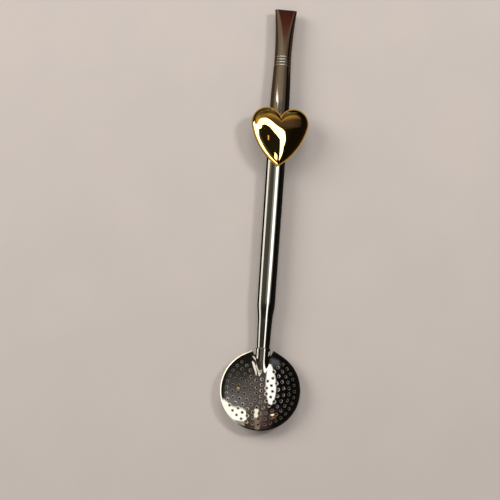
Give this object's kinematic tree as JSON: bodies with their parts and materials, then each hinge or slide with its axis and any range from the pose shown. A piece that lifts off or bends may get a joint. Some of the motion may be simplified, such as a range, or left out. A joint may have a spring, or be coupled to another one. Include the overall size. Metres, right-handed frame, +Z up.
{
  "type": "bombilla",
  "caption": "Metal mate straw: round stem with flattened mouthpiece and engraved lines, domed gilt heart on the front, and a perforated two-shell strainer with rolled rim.",
  "frame": {"origin": "middle of the strainer's flat rest, on the table that the bombilla lies on", "axes": "+Z up, out of the front that carries the heart; +Y along the stem to the mouthpiece; +X to the right as seen from the front"},
  "size_m": [0.0346, 0.1831, 0.0132],
  "materials": {
    "polished_steel": "mirror-polished stainless steel",
    "gilt_brass": "polished gilt brass",
    "braze": "satin silver braze",
    "solder": "satin silver solder"
  },
  "bodies": {
    "root": {"stem_tube": "polished_steel", "strainer_front": "polished_steel", "strainer_back": "polished_steel", "neck_braze": "braze", "heart_front": "gilt_brass", "heart_back": "gilt_brass", "heart_solder_left": "solder", "heart_solder_right": "solder"}
  },
  "joints": []
}
